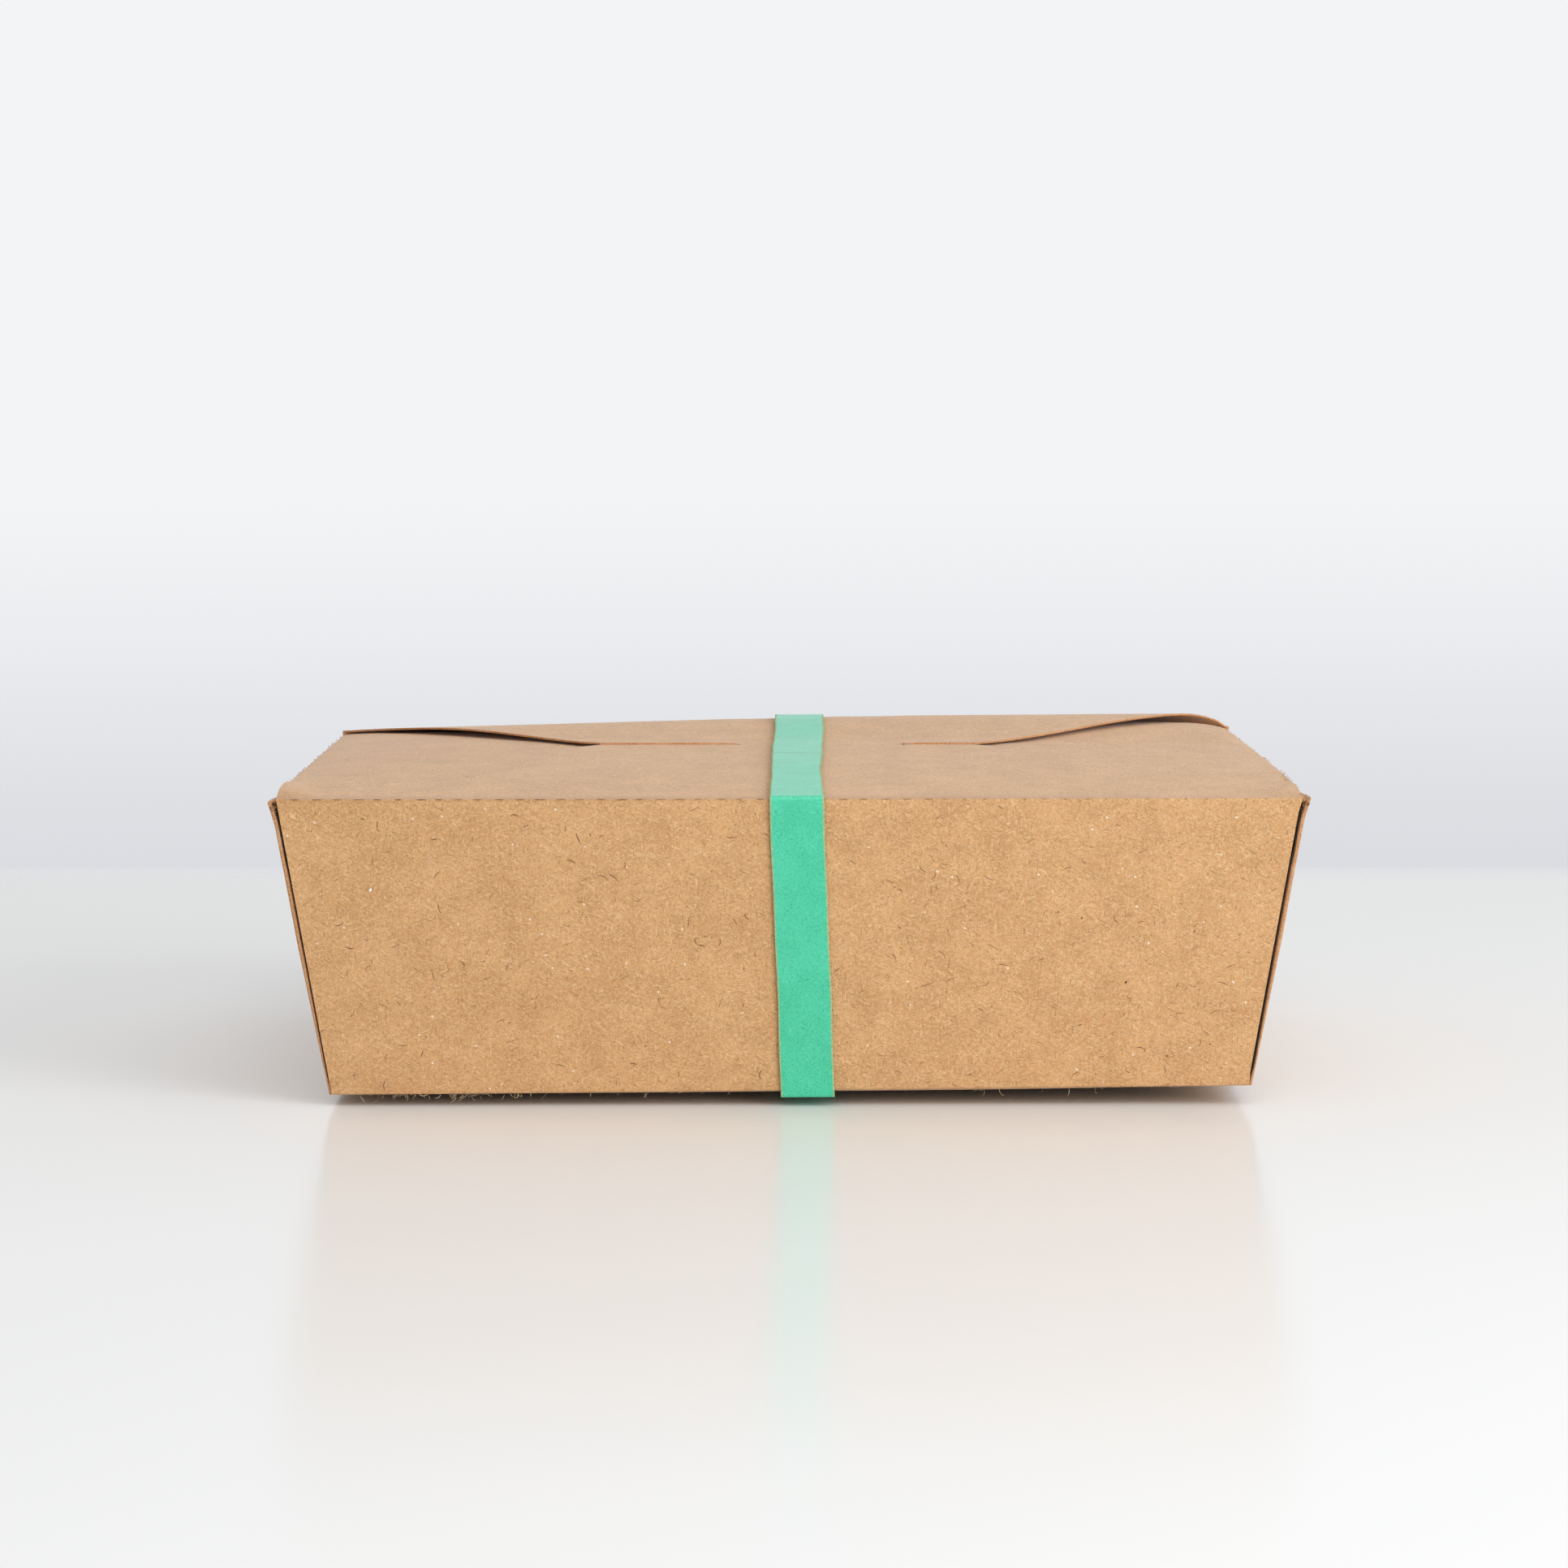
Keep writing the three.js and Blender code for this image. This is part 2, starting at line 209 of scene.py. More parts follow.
def crown_share(x):
    growing = np.clip((x + HALF_MOUTH_X) / (ARCH_FULL_X + HALF_MOUTH_X), 0.0, 1.0)
    return lerp(ARCH_LEFT, 1.0, growing) * (1 - ARCH_DROP * ease(x, ARCH_DROP_X, HALF_MOUTH_X))


def crown(x, along):
    place = lerp(*ARCH_PLACE, np.clip((x + HALF_MOUTH_X) / (2 * HALF_MOUTH_X), 0.0, 1.0))
    rise = np.minimum(along / place, 1.0)
    fall = np.maximum(0.0, (along - place) / (1 - place))
    return rise * (2 - rise) * (1 + np.cos(np.pi * fall)) / 2


def off_tongue(x):
    return ease(np.abs(x - TONGUE_MIDDLE) - TONGUE_HALF, -TONGUE_BLEND, TONGUE_BLEND)


def back_flap_top(x, y):
    along = np.clip((HALF_MOUTH_Y - y) / (HALF_MOUTH_Y - SLIT_Y), 0.0, 1.0)
    tip = front_flap_top(x, SLIT_Y) + lerp(-TONGUE_DIP, BOARD, off_tongue(x))
    return lerp(BACK_FOLD, tip, along) + ARCH_HEIGHT * crown_share(x) * crown(x, along)


def end_fold_top(y):
    return END_FOLD - END_FALL * y - END_FRONT_DROP * ease(-y, HALF_MOUTH_Y - END_DROP_REACH, HALF_MOUTH_Y)


def end_flap_top(side, x, y):
    held = END_SPRING_FROM[side]
    free = np.clip((y - held) / (END_SPRING_FULL[side] - held), 0.0, 1.0)
    inwards = 1 - np.exp((np.minimum(np.abs(x), HALF_MOUTH_X) - HALF_MOUTH_X) / END_SPRING_REACH[side])
    sprung = end_fold_top(y) + END_SPRING[side] * free * inwards
    under_front = front_flap_top(x, y) - BOARD
    ramp = ease(y, SLIT_Y, SLIT_Y + BACK_GAP_RAMP) * ease(HALF_MOUTH_Y - y, *BACK_GAP_OPENS[side])
    gap = lerp(*BACK_GAP, ease(x, *BACK_GAP_WIDENS))
    under_back = back_flap_top(x, y) - BOARD - gap * ramp
    under = np.where(y > SLIT_Y, np.minimum(under_front, under_back), under_front)
    return np.minimum(sprung, under)


def front_flap_half(y):
    along = np.clip((y - FRONT_SIDE_END) / (SLIT_Y - FRONT_SIDE_END), 0.0, 1.0)
    slanted = lerp(HALF_MOUTH_X, SLIT_HALF, along) + FRONT_SIDE_BOW * np.sin(np.pi * along)
    hidden = lerp(SLIT_HALF, FRONT_FLAP_TIP_HALF, (y - SLIT_Y) / (FRONT_FLAP_TIP - SLIT_Y))
    return np.where(y > SLIT_Y, hidden, slanted)


def back_flap_half(y):
    return lerp(HALF_MOUTH_X, SLIT_HALF, (HALF_MOUTH_Y - y) / (HALF_MOUTH_Y - SLIT_Y))


# Sheets


def points(x, y, z):
    return np.stack(np.broadcast_arrays(x, y, z), axis=-1).astype(float)


def bend(before, corner, after):
    """Rows that round a fold off, from the row before it to the row after it."""
    shares = np.linspace(0.0, 1.0, FOLD_STEPS + 1)[1:-1]
    return [(1 - t) ** 2 * before + 2 * t * (1 - t) * corner + t * t * after for t in shares]


def crowded(count, strength=0.8):
    """Numbers from -1 to 1 that lie closer together near both ends."""
    even = np.linspace(-1.0, 1.0, count)
    return lerp(even, np.sin(even * np.pi / 2), strength)


def add_piece(name, verts, faces, face_materials, materials, node):
    mesh = bpy.data.meshes.new(name)
    mesh.from_pydata((np.asarray(verts) * MM).tolist(), [], faces)
    for material in materials:
        mesh.materials.append(material)
    mesh.polygons.foreach_set("material_index", face_materials)
    mesh.polygons.foreach_set("use_smooth", [True] * len(faces))
    mesh.set_sharp_from_angle(angle=SHARP_ANGLE)
    mesh.update()
    piece = bpy.data.objects.new(name, mesh)
    bpy.context.scene.collection.objects.link(piece)
    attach(piece, "root")
    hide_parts(node)


EDGE_STEPS = 5


def sheet_loops(outer, thick, bulge):
    """Closed loops round a sheet, one for each row: outer face, edge, inner face, edge.

    outer holds the outer face as rows of points, thick is the thickness of each row,
    and bulge says how far each row's edges are rounded, from 0 for cut to 1 for folded.
    """
    along = np.gradient(outer, axis=1)
    across = np.gradient(outer, axis=0)
    normal = unit(np.cross(along, across))
    inner = outer - normal * thick[:, None, None]
    angles = np.pi * np.arange(1, EDGE_STEPS + 1) / (EDGE_STEPS + 1)
    half = thick[:, None, None] / 2

    def edge(column, beside):
        out = unit(outer[:, column] - outer[:, beside])[:, None]
        face = normal[:, column][:, None]
        sunk = -face * half * (1 - np.cos(angles))[None, :, None]
        swell = out * half * bulge[:, None, None] * np.sin(angles)[None, :, None]
        return outer[:, column][:, None] + sunk + swell

    return np.concatenate([outer, edge(-1, -2), inner[:, ::-1], edge(0, 1)[:, ::-1]], axis=1)


def add_sheet(name, outer, thick, bulge, materials, node, rim=0):
    """A closed sheet of board or paper, whose edges have the second material.

    The first rim columns of the outer face at either side belong to the edges.
    """
    rows, columns = outer.shape[:2]
    thick = np.broadcast_to(np.asarray(thick, float), rows)
    bulge = np.broadcast_to(np.asarray(bulge, float), rows)
    loops = sheet_loops(outer, thick, bulge)
    size = loops.shape[1]
    faces = []
    paint = []
    for i in range(rows - 1):
        for k in range(size):
            after = (k + 1) % size
            faces.append((i * size + k, i * size + after, (i + 1) * size + after, (i + 1) * size + k))
            on_outer = rim <= k < columns - 1 - rim
            on_inner = columns + EDGE_STEPS <= k < 2 * columns + EDGE_STEPS - 1
            paint.append(0 if on_outer or on_inner else 1)
    for start, flip in ((0, True), ((rows - 1) * size, False)):
        for cap in sheet_cap(columns, size):
            face = [start + k for k in cap]
            faces.append(tuple(face[::-1] if flip else face))
            paint.append(1)
    add_piece(name, loops.reshape(-1, 3), faces, paint, materials, node)


def sheet_cap(columns, size):
    """Faces that close the end of a sheet, as places in one loop."""
    far = columns + EDGE_STEPS
    inner = [far + columns - 1 - j for j in range(columns)]
    caps = [(j, j + 1, inner[j + 1], inner[j]) for j in range(columns - 1)]
    caps.append(tuple(range(columns - 1, far + 1)))
    caps.append((*range(far + columns - 1, size), 0))
    return caps


# The blank that runs from the front flap down the front, under the box, up the back and over the top

COLUMNS = crowded(161)
WALL_ROWS = 26
FLAP_ROWS = 50
BOTTOM_ROWS = 40
BLANK_BULGE = 0.3


def back_flap_row(share):
    nominal = lerp(SLIT_Y, HALF_MOUTH_Y - FOLD_REACH, share)
    x = COLUMNS * back_flap_half(nominal)
    reach = TONGUE_LENGTH * (1 - ease(np.abs(x - TONGUE_MIDDLE) - TONGUE_HALF, -TONGUE_SIDE, TONGUE_SIDE))
    y = nominal - reach * (1 - share) ** TONGUE_POWER
    under = front_flap_top(x, y) - BOARD - TONGUE_DIP
    tucked = ease(SLIT_Y - y, *TUCK) * (1 - off_tongue(x))
    return points(x, y, lerp(back_flap_top(x, y), under, tucked))


def front_flap_row(y):
    x = COLUMNS * front_flap_half(y)
    top = front_flap_top(x, y)
    under = np.minimum(top, back_flap_top(x, y) - BOARD - TONGUE_DIP)
    return points(x, y, lerp(top, under, ease(y, SLIT_Y, SLIT_Y + TIP_DIP)))


def wall_row(face, share):
    half = lerp(HALF_BASE_X, HALF_MOUTH_X, share)
    low, high = RIGHT_INSET_ENDS
    cut = RIGHT_INSET * (1 - ease(share, high, 1.0)) * ease(share, 0.0, low)
    x = lerp(-half, half - cut, (COLUMNS + 1) / 2)
    top = front_flap_top(x, -HALF_MOUTH_Y) if face < 0 else BACK_FOLD
    return points(x, face * lerp(HALF_BASE_Y, HALF_MOUTH_Y, share), lerp(bottom_edge(x), top, share))


def bottom_row(y):
    x = COLUMNS * HALF_BASE_X
    return points(x, y, bottom_panel(x, y))


def fold_row(face):
    x = COLUMNS * HALF_MOUTH_X
    top = front_flap_top(x, -HALF_MOUTH_Y) if face < 0 else BACK_FOLD
    return points(x, face * HALF_MOUTH_Y, top)


def make_blank(materials):
    fold_share = FOLD_REACH / FRONT_FOLD
    wall_shares = lerp(fold_share, 1 - fold_share, np.linspace(0.0, 1.0, WALL_ROWS))
    back_flap = [back_flap_row(share) for share in (crowded(FLAP_ROWS, 0.6) + 1) / 2]
    back_wall = [wall_row(1, share) for share in wall_shares[::-1]]
    bottom = [bottom_row(y) for y in crowded(BOTTOM_ROWS, 0.5)[::-1] * (HALF_BASE_Y - FOLD_REACH)]
    front_wall = [wall_row(-1, share) for share in wall_shares]
    steps = np.linspace(-HALF_MOUTH_Y + FOLD_REACH, SLIT_Y, FLAP_ROWS)
    hidden = [SLIT_Y + distance for distance in TIP_ROWS]
    front_flap = [front_flap_row(y) for y in [*steps, *hidden, FRONT_FLAP_TIP]]
    stretches = [back_flap, back_wall, bottom, front_wall, front_flap]
    corners = [fold_row(1), wall_row(1, 0.0), wall_row(-1, 0.0), fold_row(-1)]
    rows = list(back_flap)
    for corner, stretch in zip(corners, stretches[1:]):
        rows += bend(rows[-1], corner, stretch[0])
        rows += stretch
    add_sheet("board_blank", np.array(rows), BOARD, BLANK_BULGE, materials, "box")


# End walls with their flaps

END_COLUMNS = crowded(81, 0.7)
END_WALL_ROWS = (26, 14)   # below and above the notch
END_FLAP_ROWS = 40
END_FLAP_CROWDING = 1.5    # over 1, its rows lie closer together near the fold
END_FLAP_START = 1.0


def end_wall_row(side, share, inset):
    half = lerp(HALF_BASE_Y, HALF_MOUTH_Y, share) - WALL_SETBACK
    y = END_COLUMNS * (half - inset)
    corner = ease(-y, half - CORNER_REACH, half)
    flare = CORNER_FLARE * corner * ease(share, FLARE_FROM, 1.0)
    draw = WALL_DRAW * (1 - corner) * ease(share, DRAW_FROM, 1.0)
    offset = lerp(WALL_FOOT_OFFSET, WALL_OFFSET, min(2 * share, 1.0)) - draw + flare
    x = lerp(HALF_BASE_X, HALF_MOUTH_X, share) + offset
    return points(side * x, y, lerp(bottom_edge(side * x), end_fold_top(y), share))


def end_flap_row(side, distance, fold):
    half = HALF_MOUTH_Y - WALL_SETBACK - END_FLAP_TAPER * distance
    x = np.abs(fold[:, 0]) - distance
    y = END_COLUMNS * half
    return points(side * x, y, end_flap_top(side, side * x, y))


def make_end(side, name, materials):
    below = np.linspace(0.0, NOTCH_SHARE - NOTCH_STEP, END_WALL_ROWS[0])
    above = np.linspace(NOTCH_SHARE, WALL_HEAD, END_WALL_ROWS[1])
    shares = np.concatenate([below, above])
    cut = ease(shares, NOTCH_SHARE - NOTCH_BLEND, NOTCH_SHARE + NOTCH_BLEND)
    offset = lerp(WALL_FOOT_OFFSET, WALL_OFFSET, np.minimum(2 * shares, 1.0))
    folded_thick = np.minimum(WALL_THICK[side], offset - GROOVE * ease(shares, *GROOVE_OPENS))
    thick = lerp(folded_thick, np.minimum(WALL_CUT_THICK, folded_thick), cut)
    bulge = lerp(1.0, END_BULGE, cut)
    wall = [end_wall_row(side, s, t * b / 2) for s, t, b in zip(shares, thick, bulge)]
    fold = end_wall_row(side, 1.0, WALL_CUT_THICK * END_BULGE / 2)
    spread = np.linspace(0.0, 1.0, END_FLAP_ROWS) ** END_FLAP_CROWDING
    flap = [end_flap_row(side, distance, fold) for distance in spread * END_FLAP_LENGTH + END_FLAP_START]
    turn = bend(wall[-1], fold, flap[0])
    outer = np.array(wall + turn + flap)
    thinning = np.linspace(thick[-1], BOARD, len(turn))
    thick = np.concatenate([thick, thinning, np.full(len(flap), BOARD)])
    bulge = np.concatenate([bulge, np.full(len(turn) + len(flap), END_BULGE)])
    if side < 0:
        outer = outer[:, ::-1]
    add_sheet(name, outer, thick, bulge, materials, "box")


# Paper band


def board_under_band(y):
    x = lerp(BAND_FRONT_TOP_X, BAND_BACK_X, (y + HALF_MOUTH_Y) / (2 * HALF_MOUTH_Y))
    heights = []
    for edge in (x - BAND_WIDTH / 2, x, x + BAND_WIDTH / 2):
        heights.append(np.where(y < SLIT_Y, front_flap_top(edge, y), back_flap_top(edge, y)))
    return np.max(heights, axis=0)


def band_turn(fold_y, fold_z, start, end, radius):
    inside = (radius - BAND_CLEAR) / math.cos((end - start) / 2)
    middle = (start + end) / 2
    y = fold_y - inside * math.cos(middle)
    z = fold_z - inside * math.sin(middle)
    angles = np.linspace(start, end, BAND_TURN_STEPS)
    out = radius + BAND_THICK
    return np.stack([y + out * np.cos(angles), z + out * np.sin(angles)], axis=1)


def band_path():
    """Middle line of the band's outer face, from its hidden end on top round to the seam."""
    lean = math.atan((HALF_MOUTH_Y - HALF_BASE_Y) / (FRONT_FOLD - EDGE_LIFT))
    up = math.pi / 2
    front_rise = math.atan(SLIT_RISE / (SLIT_Y + HALF_MOUTH_Y))
    near_back = HALF_MOUTH_Y - BAND_BACK_SLOPE
    back_rise = math.atan2(float(board_under_band(near_back)) - BACK_FOLD, HALF_MOUTH_Y - near_back)
    foot_z = BAND_FLOOR + BAND_THICK + BAND_CLEAR
    foot_y = HALF_BASE_Y - (EDGE_LIFT - foot_z) * math.tan(lean)
    lift = BAND_CLEAR + BAND_THICK
    under_y = np.arange(SEAM_Y - SEAM_LENGTH, HALF_MOUTH_Y - BAND_TOP_ENDS[1], BAND_STEP)
    under_z = board_under_band(under_y) + lift - SEAM_SINK * ease(SEAM_Y - under_y, 0.0, SEAM_SINK_REACH)
    over_y = np.arange(-HALF_MOUTH_Y + BAND_TOP_ENDS[0], SEAM_Y, BAND_STEP)
    over_y = np.append(over_y, SEAM_Y)
    hidden_y = SEAM_Y - SEAM_LENGTH
    on_seam = ease(over_y, hidden_y - SEAM_LIFT_REACH, hidden_y)
    over_z = board_under_band(over_y) + lift + SEAM_LIFT * on_seam
    back = band_turn(HALF_MOUTH_Y, BACK_FOLD, up - back_rise, -lean, BAND_BEND)
    back_foot = band_turn(foot_y, foot_z, -lean, -up, BAND_FOOT_BEND)
    front_foot = band_turn(-foot_y, foot_z, -up, -math.pi + lean, BAND_FOOT_BEND)
    front_z = float(board_under_band(-HALF_MOUTH_Y))
    front = band_turn(-HALF_MOUTH_Y, front_z, -math.pi + lean, -1.5 * math.pi + front_rise, BAND_BEND)
    under = np.stack([under_y, under_z], axis=1)
    over = np.stack([over_y, over_z], axis=1)
    stretches = [under, back, back_foot, front_foot, front, over]
    path = [under[0]]
    for stretch in stretches:
        path += between(path[-1], stretch[0])
        path += list(stretch)
    return np.array(path[1:])


def between(start, end):
    """Even steps on a straight stretch, without its ends."""
    count = int(np.linalg.norm(end - start) / BAND_STEP)
    return [lerp(start, end, i / count) for i in range(1, count)]


def make_band(materials):
    path = band_path()
    y, z = path[:, :1], path[:, 1:]
    across = crowded(BAND_COLUMNS, 0.7)[None]
    length = np.cumsum(np.linalg.norm(np.gradient(path, axis=0), axis=1))[:, None]
    on_top = ease(z, FRONT_FOLD + BAND_TOP[0], FRONT_FOLD + BAND_TOP[1])
    waist = BAND_WAIST * on_top * np.exp(-((y - WAIST_Y) / WAIST_REACH) ** 2)
    wave = sum(size * np.sin(length / step + shift) for size, step, shift in BAND_WAVES)
    x = band_middle(y, z) + across * (BAND_WIDTH - waist) / 2 + wave
    add_sheet("paper_band", points(x, y, z), BAND_THICK, BAND_BULGE, materials, "band", rim=1)


# Loose fibres, frayed corners and the cuts of the perforated front fold

STRAND_SIDES = 5
STRAND_STEPS = 7
STRAND_TIP = 0.3           # its ends are this share as thick as its middle
PERFORATION_PITCH = 4.3
PERFORATION_LENGTH = 2.2
PERFORATION_END_X = 30.0   # further right the cuts are faint
PERFORATION_FAINT = 0.4
PERFORATION_ENDS = (3.0, 6.0)    # whole stretches of the fold at the left and the right corner
PERFORATION_SINK = 0.11    # below the fold's sharp corner, each way
PERFORATION_RADIUS = (0.07, 0.12)
EDGE_FUZZ = 90             # frayed fibres along each end fold
EDGE_FUZZ_MARGIN = 2.0     # none of them is this near the ends of the fold
EDGE_FUZZ_INSET = 0.6
EDGE_FUZZ_SINK = 0.3
EDGE_FUZZ_LENGTH = (0.25, 0.6)
EDGE_FUZZ_RADIUS = 0.05
EDGE_FUZZ_CURL = 1.5
CORNER_FUZZ = 30           # frayed fibres at each front corner
CORNER_FUZZ_REACH = 1.3
CORNER_FUZZ_LENGTH = (0.3, 0.8)
CORNER_FUZZ_RADIUS = (0.08, 0.2)
CORNER_FUZZ_CURL = 2.5
HAIRS = (60, 60)           # hairs in the stretch where most hang, and elsewhere
HAIR_STRETCH = (-88.0, -58.0)
HAIR_FLOOR = 0.3
HAIR_INSET = 1.5
HAIR_SINK = 0.05
HAIR_LENGTH = (0.8, 2.8)
HAIR_RADIUS = (0.03, 0.055)
HAIR_CURL = 2.6
SURFACE_FIBRES = 130       # on the front and on the back wall
FIBRE_SHARES = (0.04, 0.96)    # of the wall's height
FIBRE_MARGIN = 4.0
FIBRE_SINK = 0.005
FIBRE_LENGTH = (0.8, 3.0)
FIBRE_RADIUS = (0.05, 0.1)
FIBRE_CURL = (0.2, 2.2)
FLECK_SLANT = (0.6, 0.8)   # along X and Z
FLECK_RADIUS = 0.3         # share of the length
PALE_FLECKS = ((-89.1, 0.7, 0.95), (-50.7, 0.43, 0.5), (-74.0, 0.42, 0.4), (52.0, 0.62, 0.4))
DARK_FLECKS = ((71.7, 0.366, 0.7), (57.0, 0.61, 0.4), (-65.3, 0.455, 0.4), (-31.0, 0.16, 0.35))


def strand_path(draw, start, heading, length, curl, flat=None):
    """A curved path. It stays in a plane across flat, if that is given."""
    axis = np.array([draw.gauss(0, 1) for _ in range(3)]) if flat is None else flat * draw.choice((-1, 1))
    heading = unit(np.asarray(heading, float))
    path = [np.asarray(start, float)]
    for _ in range(STRAND_STEPS):
        heading = unit(heading + curl / STRAND_STEPS * np.cross(unit(axis), heading))
        path.append(path[-1] + heading * length / STRAND_STEPS)
    return np.array(path)


def strand_tube(path, radius):
    """Rings round a path, thinner at both ends."""
    along = unit(np.gradient(path, axis=0))
    side = unit(np.cross(along, np.array([0.31, 0.52, 0.79])))
    other = np.cross(along, side)
    radii = radius * lerp(STRAND_TIP, 1.0, np.sin(np.pi * np.linspace(0.0, 1.0, len(path))))
    angles = 2 * np.pi * np.arange(STRAND_SIDES) / STRAND_SIDES
    ring = np.cos(angles)[None, :, None] * side[:, None] + np.sin(angles)[None, :, None] * other[:, None]
    return path[:, None] + ring * radii[:, None, None]


def add_strands(name, strands, material):
    verts = []
    faces = []
    for path, radius in strands:
        rings = strand_tube(path, radius)
        start = len(verts)
        verts += [point for ring in rings for point in ring]
        for i in range(len(rings) - 1):
            for k in range(STRAND_SIDES):
                after = (k + 1) % STRAND_SIDES
                low = start + i * STRAND_SIDES
                high = low + STRAND_SIDES
                faces.append((low + k, low + after, high + after, high + k))
        end = start + (len(rings) - 1) * STRAND_SIDES
        faces.append(tuple(start + k for k in reversed(range(STRAND_SIDES))))
        faces.append(tuple(end + k for k in range(STRAND_SIDES)))
    add_piece(name, verts, faces, [0] * len(faces), [material], "box")


def make_perforation(material):
    # Each cut is a dark strand sunk into the fold: painted shade standing for the open slit
    draw = random.Random(11)
    cuts = []
    x = -HALF_MOUTH_X + PERFORATION_ENDS[0]
    while x < HALF_MOUTH_X - PERFORATION_ENDS[1]:
        kept = 1.0 if x < PERFORATION_END_X else PERFORATION_FAINT
        length = PERFORATION_LENGTH * draw.uniform(0.7, 1.1) * kept
        y = -HALF_MOUTH_Y + PERFORATION_SINK
        z = float(front_flap_top(x, -HALF_MOUTH_Y)) - PERFORATION_SINK
        path = np.array([[x + length * t, y, z] for t in np.linspace(0, 1, 5)])
        cuts.append((path, draw.uniform(*PERFORATION_RADIUS) * (1 + kept) / 2))
        x += PERFORATION_PITCH * draw.uniform(0.92, 1.08)
    add_strands("fold_cuts", cuts, material)


def make_fuzz(material):
    draw = random.Random(5)
    fuzz = []
    for side in (-1, 1):
        for _ in range(EDGE_FUZZ):
            y = draw.uniform(EDGE_FUZZ_MARGIN - HALF_MOUTH_Y, HALF_MOUTH_Y - EDGE_FUZZ_MARGIN)
            x = side * (HALF_MOUTH_X + WALL_OFFSET - WALL_DRAW - draw.uniform(0.0, EDGE_FUZZ_INSET))
            heading = (side * draw.uniform(0.2, 1.0), draw.gauss(0, 0.7), draw.uniform(0.1, 0.9))
            start = (x, y, float(end_fold_top(y)) - EDGE_FUZZ_SINK)
            path = strand_path(draw, start, heading, draw.uniform(*EDGE_FUZZ_LENGTH), EDGE_FUZZ_CURL)
            fuzz.append((path, EDGE_FUZZ_RADIUS))
        for _ in range(CORNER_FUZZ):
            x = side * (HALF_MOUTH_X + draw.uniform(0.0, CORNER_FUZZ_REACH))
            start = (x, -HALF_MOUTH_Y + draw.gauss(0.6, 0.5), FRONT_FOLD + draw.gauss(-1.4, 0.4))
            heading = (side * draw.uniform(-0.3, 1.0), draw.gauss(0, 0.8), draw.gauss(0.3, 0.7))
            length = draw.uniform(*CORNER_FUZZ_LENGTH)
            path = strand_path(draw, start, heading, length, CORNER_FUZZ_CURL)
            fuzz.append((path, draw.uniform(*CORNER_FUZZ_RADIUS)))
    add_strands("frayed_edges", fuzz, material)


def make_hairs(material):
    draw = random.Random(3)
    hairs = []
    for i in range(sum(HAIRS)):
        stretch = HAIR_STRETCH if i < HAIRS[0] else (-HALF_BASE_X, HALF_BASE_X)
        x = draw.uniform(*stretch)
        start = (x, -HALF_BASE_Y + draw.uniform(0.0, HAIR_INSET), float(bottom_edge(x)) - HAIR_SINK)
        heading = (draw.gauss(0, 0.8), draw.uniform(-0.8, 0.3), -draw.uniform(0.2, 0.7))
        path = strand_path(draw, start, heading, draw.uniform(*HAIR_LENGTH), HAIR_CURL)
        path[:, 2] = np.maximum(path[:, 2], HAIR_FLOOR)
        hairs.append((path, draw.uniform(*HAIR_RADIUS)))
    add_strands("bottom_hairs", hairs, material)


def make_flecks(name, spots, material):
    """Small flecks in the front wall, each given by its X, its share of the height and its length."""
    flecks = []
    for x, share, length in spots:
        y = -lerp(HALF_BASE_Y, HALF_MOUTH_Y, share)
        z = float(lerp(bottom_edge(x), FRONT_FOLD, share))
        ends = np.linspace(-0.5, 0.5, STRAND_STEPS)
        run, rise = FLECK_SLANT
        path = np.array([[x + run * length * t, y, z + rise * length * t] for t in ends])
        flecks.append((path, FLECK_RADIUS * length))
    add_strands(name, flecks, material)


def make_surface_fibres(material):
    """Dark curved fibres that lie in the face of the walls."""
    draw = random.Random(8)
    fibres = []
    slope = (HALF_MOUTH_Y - HALF_BASE_Y) / (FRONT_FOLD - EDGE_LIFT)
    for face in (-1, 1):
        for _ in range(SURFACE_FIBRES):
            share = draw.uniform(*FIBRE_SHARES)
            x = draw.uniform(-1, 1) * (lerp(HALF_BASE_X, HALF_MOUTH_X, share) - FIBRE_MARGIN)
            z = float(lerp(bottom_edge(x), FRONT_FOLD, share))
            angle = draw.uniform(0, 2 * math.pi)
            heading = (math.cos(angle), face * slope * math.sin(angle), math.sin(angle))
            flat = unit(np.array([0.0, face, -slope]))
            start = (x, face * (lerp(HALF_BASE_Y, HALF_MOUTH_Y, share) - FIBRE_SINK), z)
            length = draw.uniform(*FIBRE_LENGTH)
            path = strand_path(draw, start, heading, length, draw.uniform(*FIBRE_CURL), flat)
            fibres.append((path, draw.uniform(*FIBRE_RADIUS)))
    add_strands("surface_fibres", fibres, material)


# Materials

FIBRE_DIRECTIONS = (
    ("Y_AXIS", 25),
    ("Y_AXIS", 85),
    ("Y_AXIS", 150),
    ("Z_AXIS", 40),
    ("Z_AXIS", 100),
    ("Z_AXIS", 160),
)
FOLD_SHADE_REACH = (6.0, 1.5)     # painted shade: the front flap is darker between these distances from its fold
FOLD_SHADE_TOP = 0.6
CRACKED_TOP = 3.0              # the band's ink is cracked from this far below the front fold
CRACKED_REACH = 12.0
SEAM_SHADE_MIDDLE = 0.3            # the middle of the painted shade line at the seam's step lies this far before the seam
SEAM_SHADE_REACH = (0.7, 0.2)      # it grows dark between these distances from its middle
SEAM_SHADE_ABOVE = (50.0, 60.0)    # and only on top of the box

